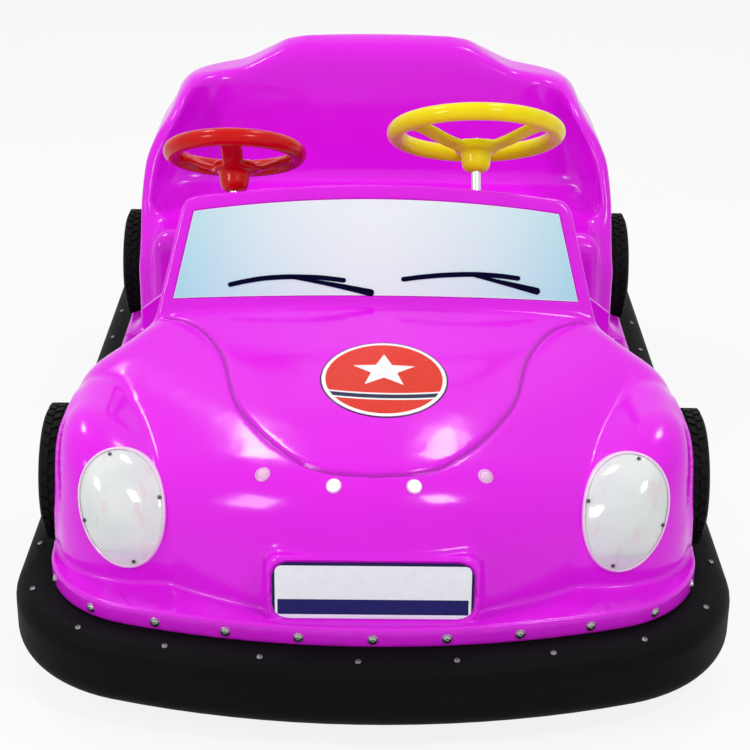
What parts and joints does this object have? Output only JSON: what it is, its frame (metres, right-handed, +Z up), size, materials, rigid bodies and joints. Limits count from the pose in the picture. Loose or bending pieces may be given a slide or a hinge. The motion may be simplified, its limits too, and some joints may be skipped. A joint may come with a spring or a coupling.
{
  "type": "battery bumper car",
  "caption": "Two-seat battery bumper car: moulded shell, sham windscreen and dummy wheels on a rubber-ringed chassis with a swivelling drive wheel, a main and a child steering wheel.",
  "frame": {"origin": "centre of the bounding box at floor level, where the three wheels stand", "axes": "+Z up, front of the car faces -Y, +X is the left of a rider in the seat"},
  "size_m": [1.194, 1.9836, 0.8358],
  "materials": {
    "body_pink": "gloss moulded shell",
    "bumper_black": "matt",
    "tyre_black": "moulded tread",
    "frame_steel": "satin black",
    "floor_steel": "plate",
    "lamp_opal": "opal dome",
    "lamp_clear": "clear lens",
    "screen_print": "printed panel",
    "wheel_yellow": "gloss",
    "wheel_red": "gloss",
    "column_steel": "polished",
    "hub_steel": "turned",
    "motor_grey": "satin",
    "cap_silver": "silver",
    "battery_black": "case",
    "pedal_black": "ribbed"
  },
  "bodies": {
    "car": {"base_skirt": "body_pink", "battery": "battery_black", "bumper_ring": "bumper_black", "chassis_frame": "frame_steel", "chassis_hoop": "frame_steel", "dashboard": "body_pink", "drive_carrier": "frame_steel", "dummy_tyre_front_left": "tyre_black", "dummy_tyre_front_right": "tyre_black", "dummy_tyre_rear_left": "tyre_black", "dummy_tyre_rear_right": "tyre_black", "floor_pan": "floor_steel", "front_body": "body_pink", "headlamp_left": "lamp_opal", "headlamp_right": "lamp_opal", "nose_lamp_1": "lamp_clear", "nose_lamp_2": "lamp_clear", "nose_lamp_3": "lamp_clear", "nose_lamp_4": "lamp_clear", "pedal": "pedal_black", "rear_axle": "frame_steel", "rear_body": "body_pink", "seat_bench": "body_pink", "wheel_cap_front_left": "cap_silver", "wheel_cap_front_right": "cap_silver", "wheel_cap_rear_left": "cap_silver", "wheel_cap_rear_right": "cap_silver", "windscreen_frame": "body_pink", "windscreen_panel": "screen_print"},
    "main_steering": {"main_steering_wheel": "wheel_yellow", "main_column": "column_steel"},
    "child_steering": {"child_steering_wheel": "wheel_red", "child_column": "column_steel"},
    "drive_unit": {"drive_fork": "frame_steel", "drive_motor": "motor_grey"},
    "drive_wheel": {"drive_hub": "hub_steel", "drive_tyre": "tyre_black"},
    "rear_wheel_left": {"rear_tyre_left": "tyre_black", "rear_hub_left": "hub_steel"},
    "rear_wheel_right": {"rear_tyre_right": "tyre_black", "rear_hub_right": "hub_steel"}
  },
  "joints": [
    {"name": "drive_swivel", "type": "hinge", "parent": "car", "child": "drive_unit", "pos_m": [0, -0.55, 0.25], "axis": [0, 0, 1], "continuous": true},
    {"name": "drive_wheel_roll", "type": "hinge", "parent": "drive_unit", "child": "drive_wheel", "pos_m": [0, -0.55, 0.1], "axis": [1, 0, 0], "continuous": true},
    {"name": "main_steering_turn", "type": "hinge", "parent": "car", "child": "main_steering", "pos_m": [0.183, -0.08, 0.742], "axis": [0, 0.5225, 0.8526], "continuous": true},
    {"name": "child_steering_turn", "type": "hinge", "parent": "car", "child": "child_steering", "pos_m": [-0.264, -0.08, 0.7], "axis": [0, 0.5225, 0.8526], "continuous": true},
    {"name": "rear_wheel_left_roll", "type": "hinge", "parent": "car", "child": "rear_wheel_left", "pos_m": [0.35, 0.45, 0.1], "axis": [1, 0, 0], "continuous": true},
    {"name": "rear_wheel_right_roll", "type": "hinge", "parent": "car", "child": "rear_wheel_right", "pos_m": [-0.35, 0.45, 0.1], "axis": [1, 0, 0], "continuous": true}
  ],
  "couplings": [
    {"joint": "main_steering_turn", "follows": "drive_swivel", "ratio": 1}
  ]
}
